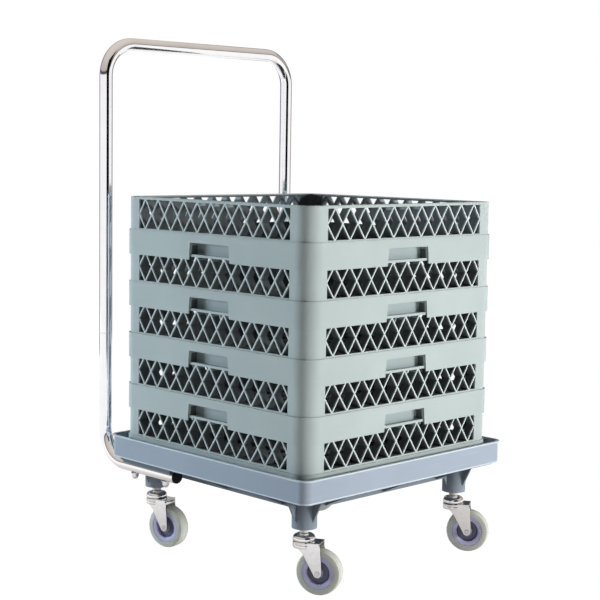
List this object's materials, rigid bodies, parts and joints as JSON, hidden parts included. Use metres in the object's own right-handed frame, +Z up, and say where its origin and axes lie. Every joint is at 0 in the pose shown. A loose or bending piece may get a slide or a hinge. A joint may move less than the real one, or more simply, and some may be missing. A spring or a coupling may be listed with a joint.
{
  "type": "dish rack trolley",
  "caption": "Wheeled moulded tray with a bent tube push handle, carrying a stack of square dishwasher racks with diamond lattice walls and hand notches.",
  "frame": {"origin": "on the floor, under the middle of the whole trolley's outline", "axes": "+Z up, +Y towards the push handle, +X towards the right side seen from the front"},
  "size_m": [0.536, 0.597, 0.9718],
  "materials": {
    "rack_plastic": "fine satin moulding, grey",
    "tray_plastic": "fine satin moulding, blue grey",
    "chrome_tube": "bright polished tube",
    "plain_steel": "plain drawn tube",
    "black_plastic": "matt black moulding",
    "zinc_fastener": "bright zinc plate",
    "zinc_pressing": "bright zinc plated pressing",
    "spacer_nylon": "natural nylon",
    "hub_plastic": "satin moulding, lavender grey",
    "tyre_rubber": "matt grey non-marking rubber"
  },
  "bodies": {
    "dolly": {"dolly_tray": "tray_plastic", "handle_hoop": "chrome_tube", "handle_leg_left": "chrome_tube", "handle_leg_right": "chrome_tube", "handle_spigots": "plain_steel", "leg_plugs": "black_plastic", "leg_bolts": "zinc_fastener", "leg_washers": "zinc_fastener", "leg_nuts": "zinc_fastener", "caster_spacers": "spacer_nylon", "stem_front_left": "zinc_pressing", "stem_front_right": "zinc_pressing", "stem_back_left": "zinc_pressing", "stem_back_right": "zinc_pressing"},
    "swivel_front_left": {"fork_front_left": "zinc_pressing", "axle_front_left": "zinc_fastener", "axle_nut_front_left": "zinc_fastener"},
    "wheel_front_left": {"hub_front_left": "hub_plastic", "tyre_front_left": "tyre_rubber"},
    "swivel_front_right": {"fork_front_right": "zinc_pressing", "axle_front_right": "zinc_fastener", "axle_nut_front_right": "zinc_fastener"},
    "wheel_front_right": {"hub_front_right": "hub_plastic", "tyre_front_right": "tyre_rubber"},
    "swivel_back_left": {"fork_back_left": "zinc_pressing", "axle_back_left": "zinc_fastener", "axle_nut_back_left": "zinc_fastener"},
    "wheel_back_left": {"hub_back_left": "hub_plastic", "tyre_back_left": "tyre_rubber"},
    "swivel_back_right": {"fork_back_right": "zinc_pressing", "axle_back_right": "zinc_fastener", "axle_nut_back_right": "zinc_fastener"},
    "wheel_back_right": {"hub_back_right": "hub_plastic", "tyre_back_right": "tyre_rubber"},
    "rack_1_body": {"rack_1": "rack_plastic"},
    "rack_2_body": {"rack_2": "rack_plastic"},
    "rack_3_body": {"rack_3": "rack_plastic"},
    "rack_4_body": {"rack_4": "rack_plastic"},
    "rack_5_body": {"rack_5": "rack_plastic"}
  },
  "joints": [
    {"name": "swivel_front_left_turn", "type": "hinge", "parent": "dolly", "child": "swivel_front_left", "pos_m": [-0.202, -0.2325, 0.093], "axis": [0, 0, 1], "continuous": true},
    {"name": "wheel_front_left_spin", "type": "hinge", "parent": "swivel_front_left", "child": "wheel_front_left", "pos_m": [-0.18838, -0.2581, 0.04], "axis": [0.8829, 0.4695, 0], "continuous": true},
    {"name": "swivel_front_right_turn", "type": "hinge", "parent": "dolly", "child": "swivel_front_right", "pos_m": [0.202, -0.2325, 0.093], "axis": [0, 0, 1], "continuous": true},
    {"name": "wheel_front_right_spin", "type": "hinge", "parent": "swivel_front_right", "child": "wheel_front_right", "pos_m": [0.21779, -0.25682, 0.04], "axis": [0.8387, 0.5446, 0], "continuous": true},
    {"name": "swivel_back_left_turn", "type": "hinge", "parent": "dolly", "child": "swivel_back_left", "pos_m": [-0.202, 0.1715, 0.093], "axis": [0, 0, 1], "continuous": true},
    {"name": "wheel_back_left_spin", "type": "hinge", "parent": "swivel_back_left", "child": "wheel_back_left", "pos_m": [-0.19523, 0.1433, 0.04], "axis": [0.9724, 0.2334, 0], "continuous": true},
    {"name": "swivel_back_right_turn", "type": "hinge", "parent": "dolly", "child": "swivel_back_right", "pos_m": [0.202, 0.1715, 0.093], "axis": [0, 0, 1], "continuous": true},
    {"name": "wheel_back_right_spin", "type": "hinge", "parent": "swivel_back_right", "child": "wheel_back_right", "pos_m": [0.2165, 0.14638, 0.04], "axis": [0.866, 0.5, 0], "continuous": true},
    {"name": "rack_1_lift", "type": "slide", "parent": "dolly", "child": "rack_1_body", "axis": [0, 0, 1], "range_m": [0, 0.06]},
    {"name": "rack_2_lift", "type": "slide", "parent": "rack_1_body", "child": "rack_2_body", "axis": [0, 0, 1], "range_m": [0, 0.06]},
    {"name": "rack_3_lift", "type": "slide", "parent": "rack_2_body", "child": "rack_3_body", "axis": [0, 0, 1], "range_m": [0, 0.06]},
    {"name": "rack_4_lift", "type": "slide", "parent": "rack_3_body", "child": "rack_4_body", "axis": [0, 0, 1], "range_m": [0, 0.06]},
    {"name": "rack_5_lift", "type": "slide", "parent": "rack_4_body", "child": "rack_5_body", "axis": [0, 0, 1], "range_m": [0, 0.06]}
  ]
}
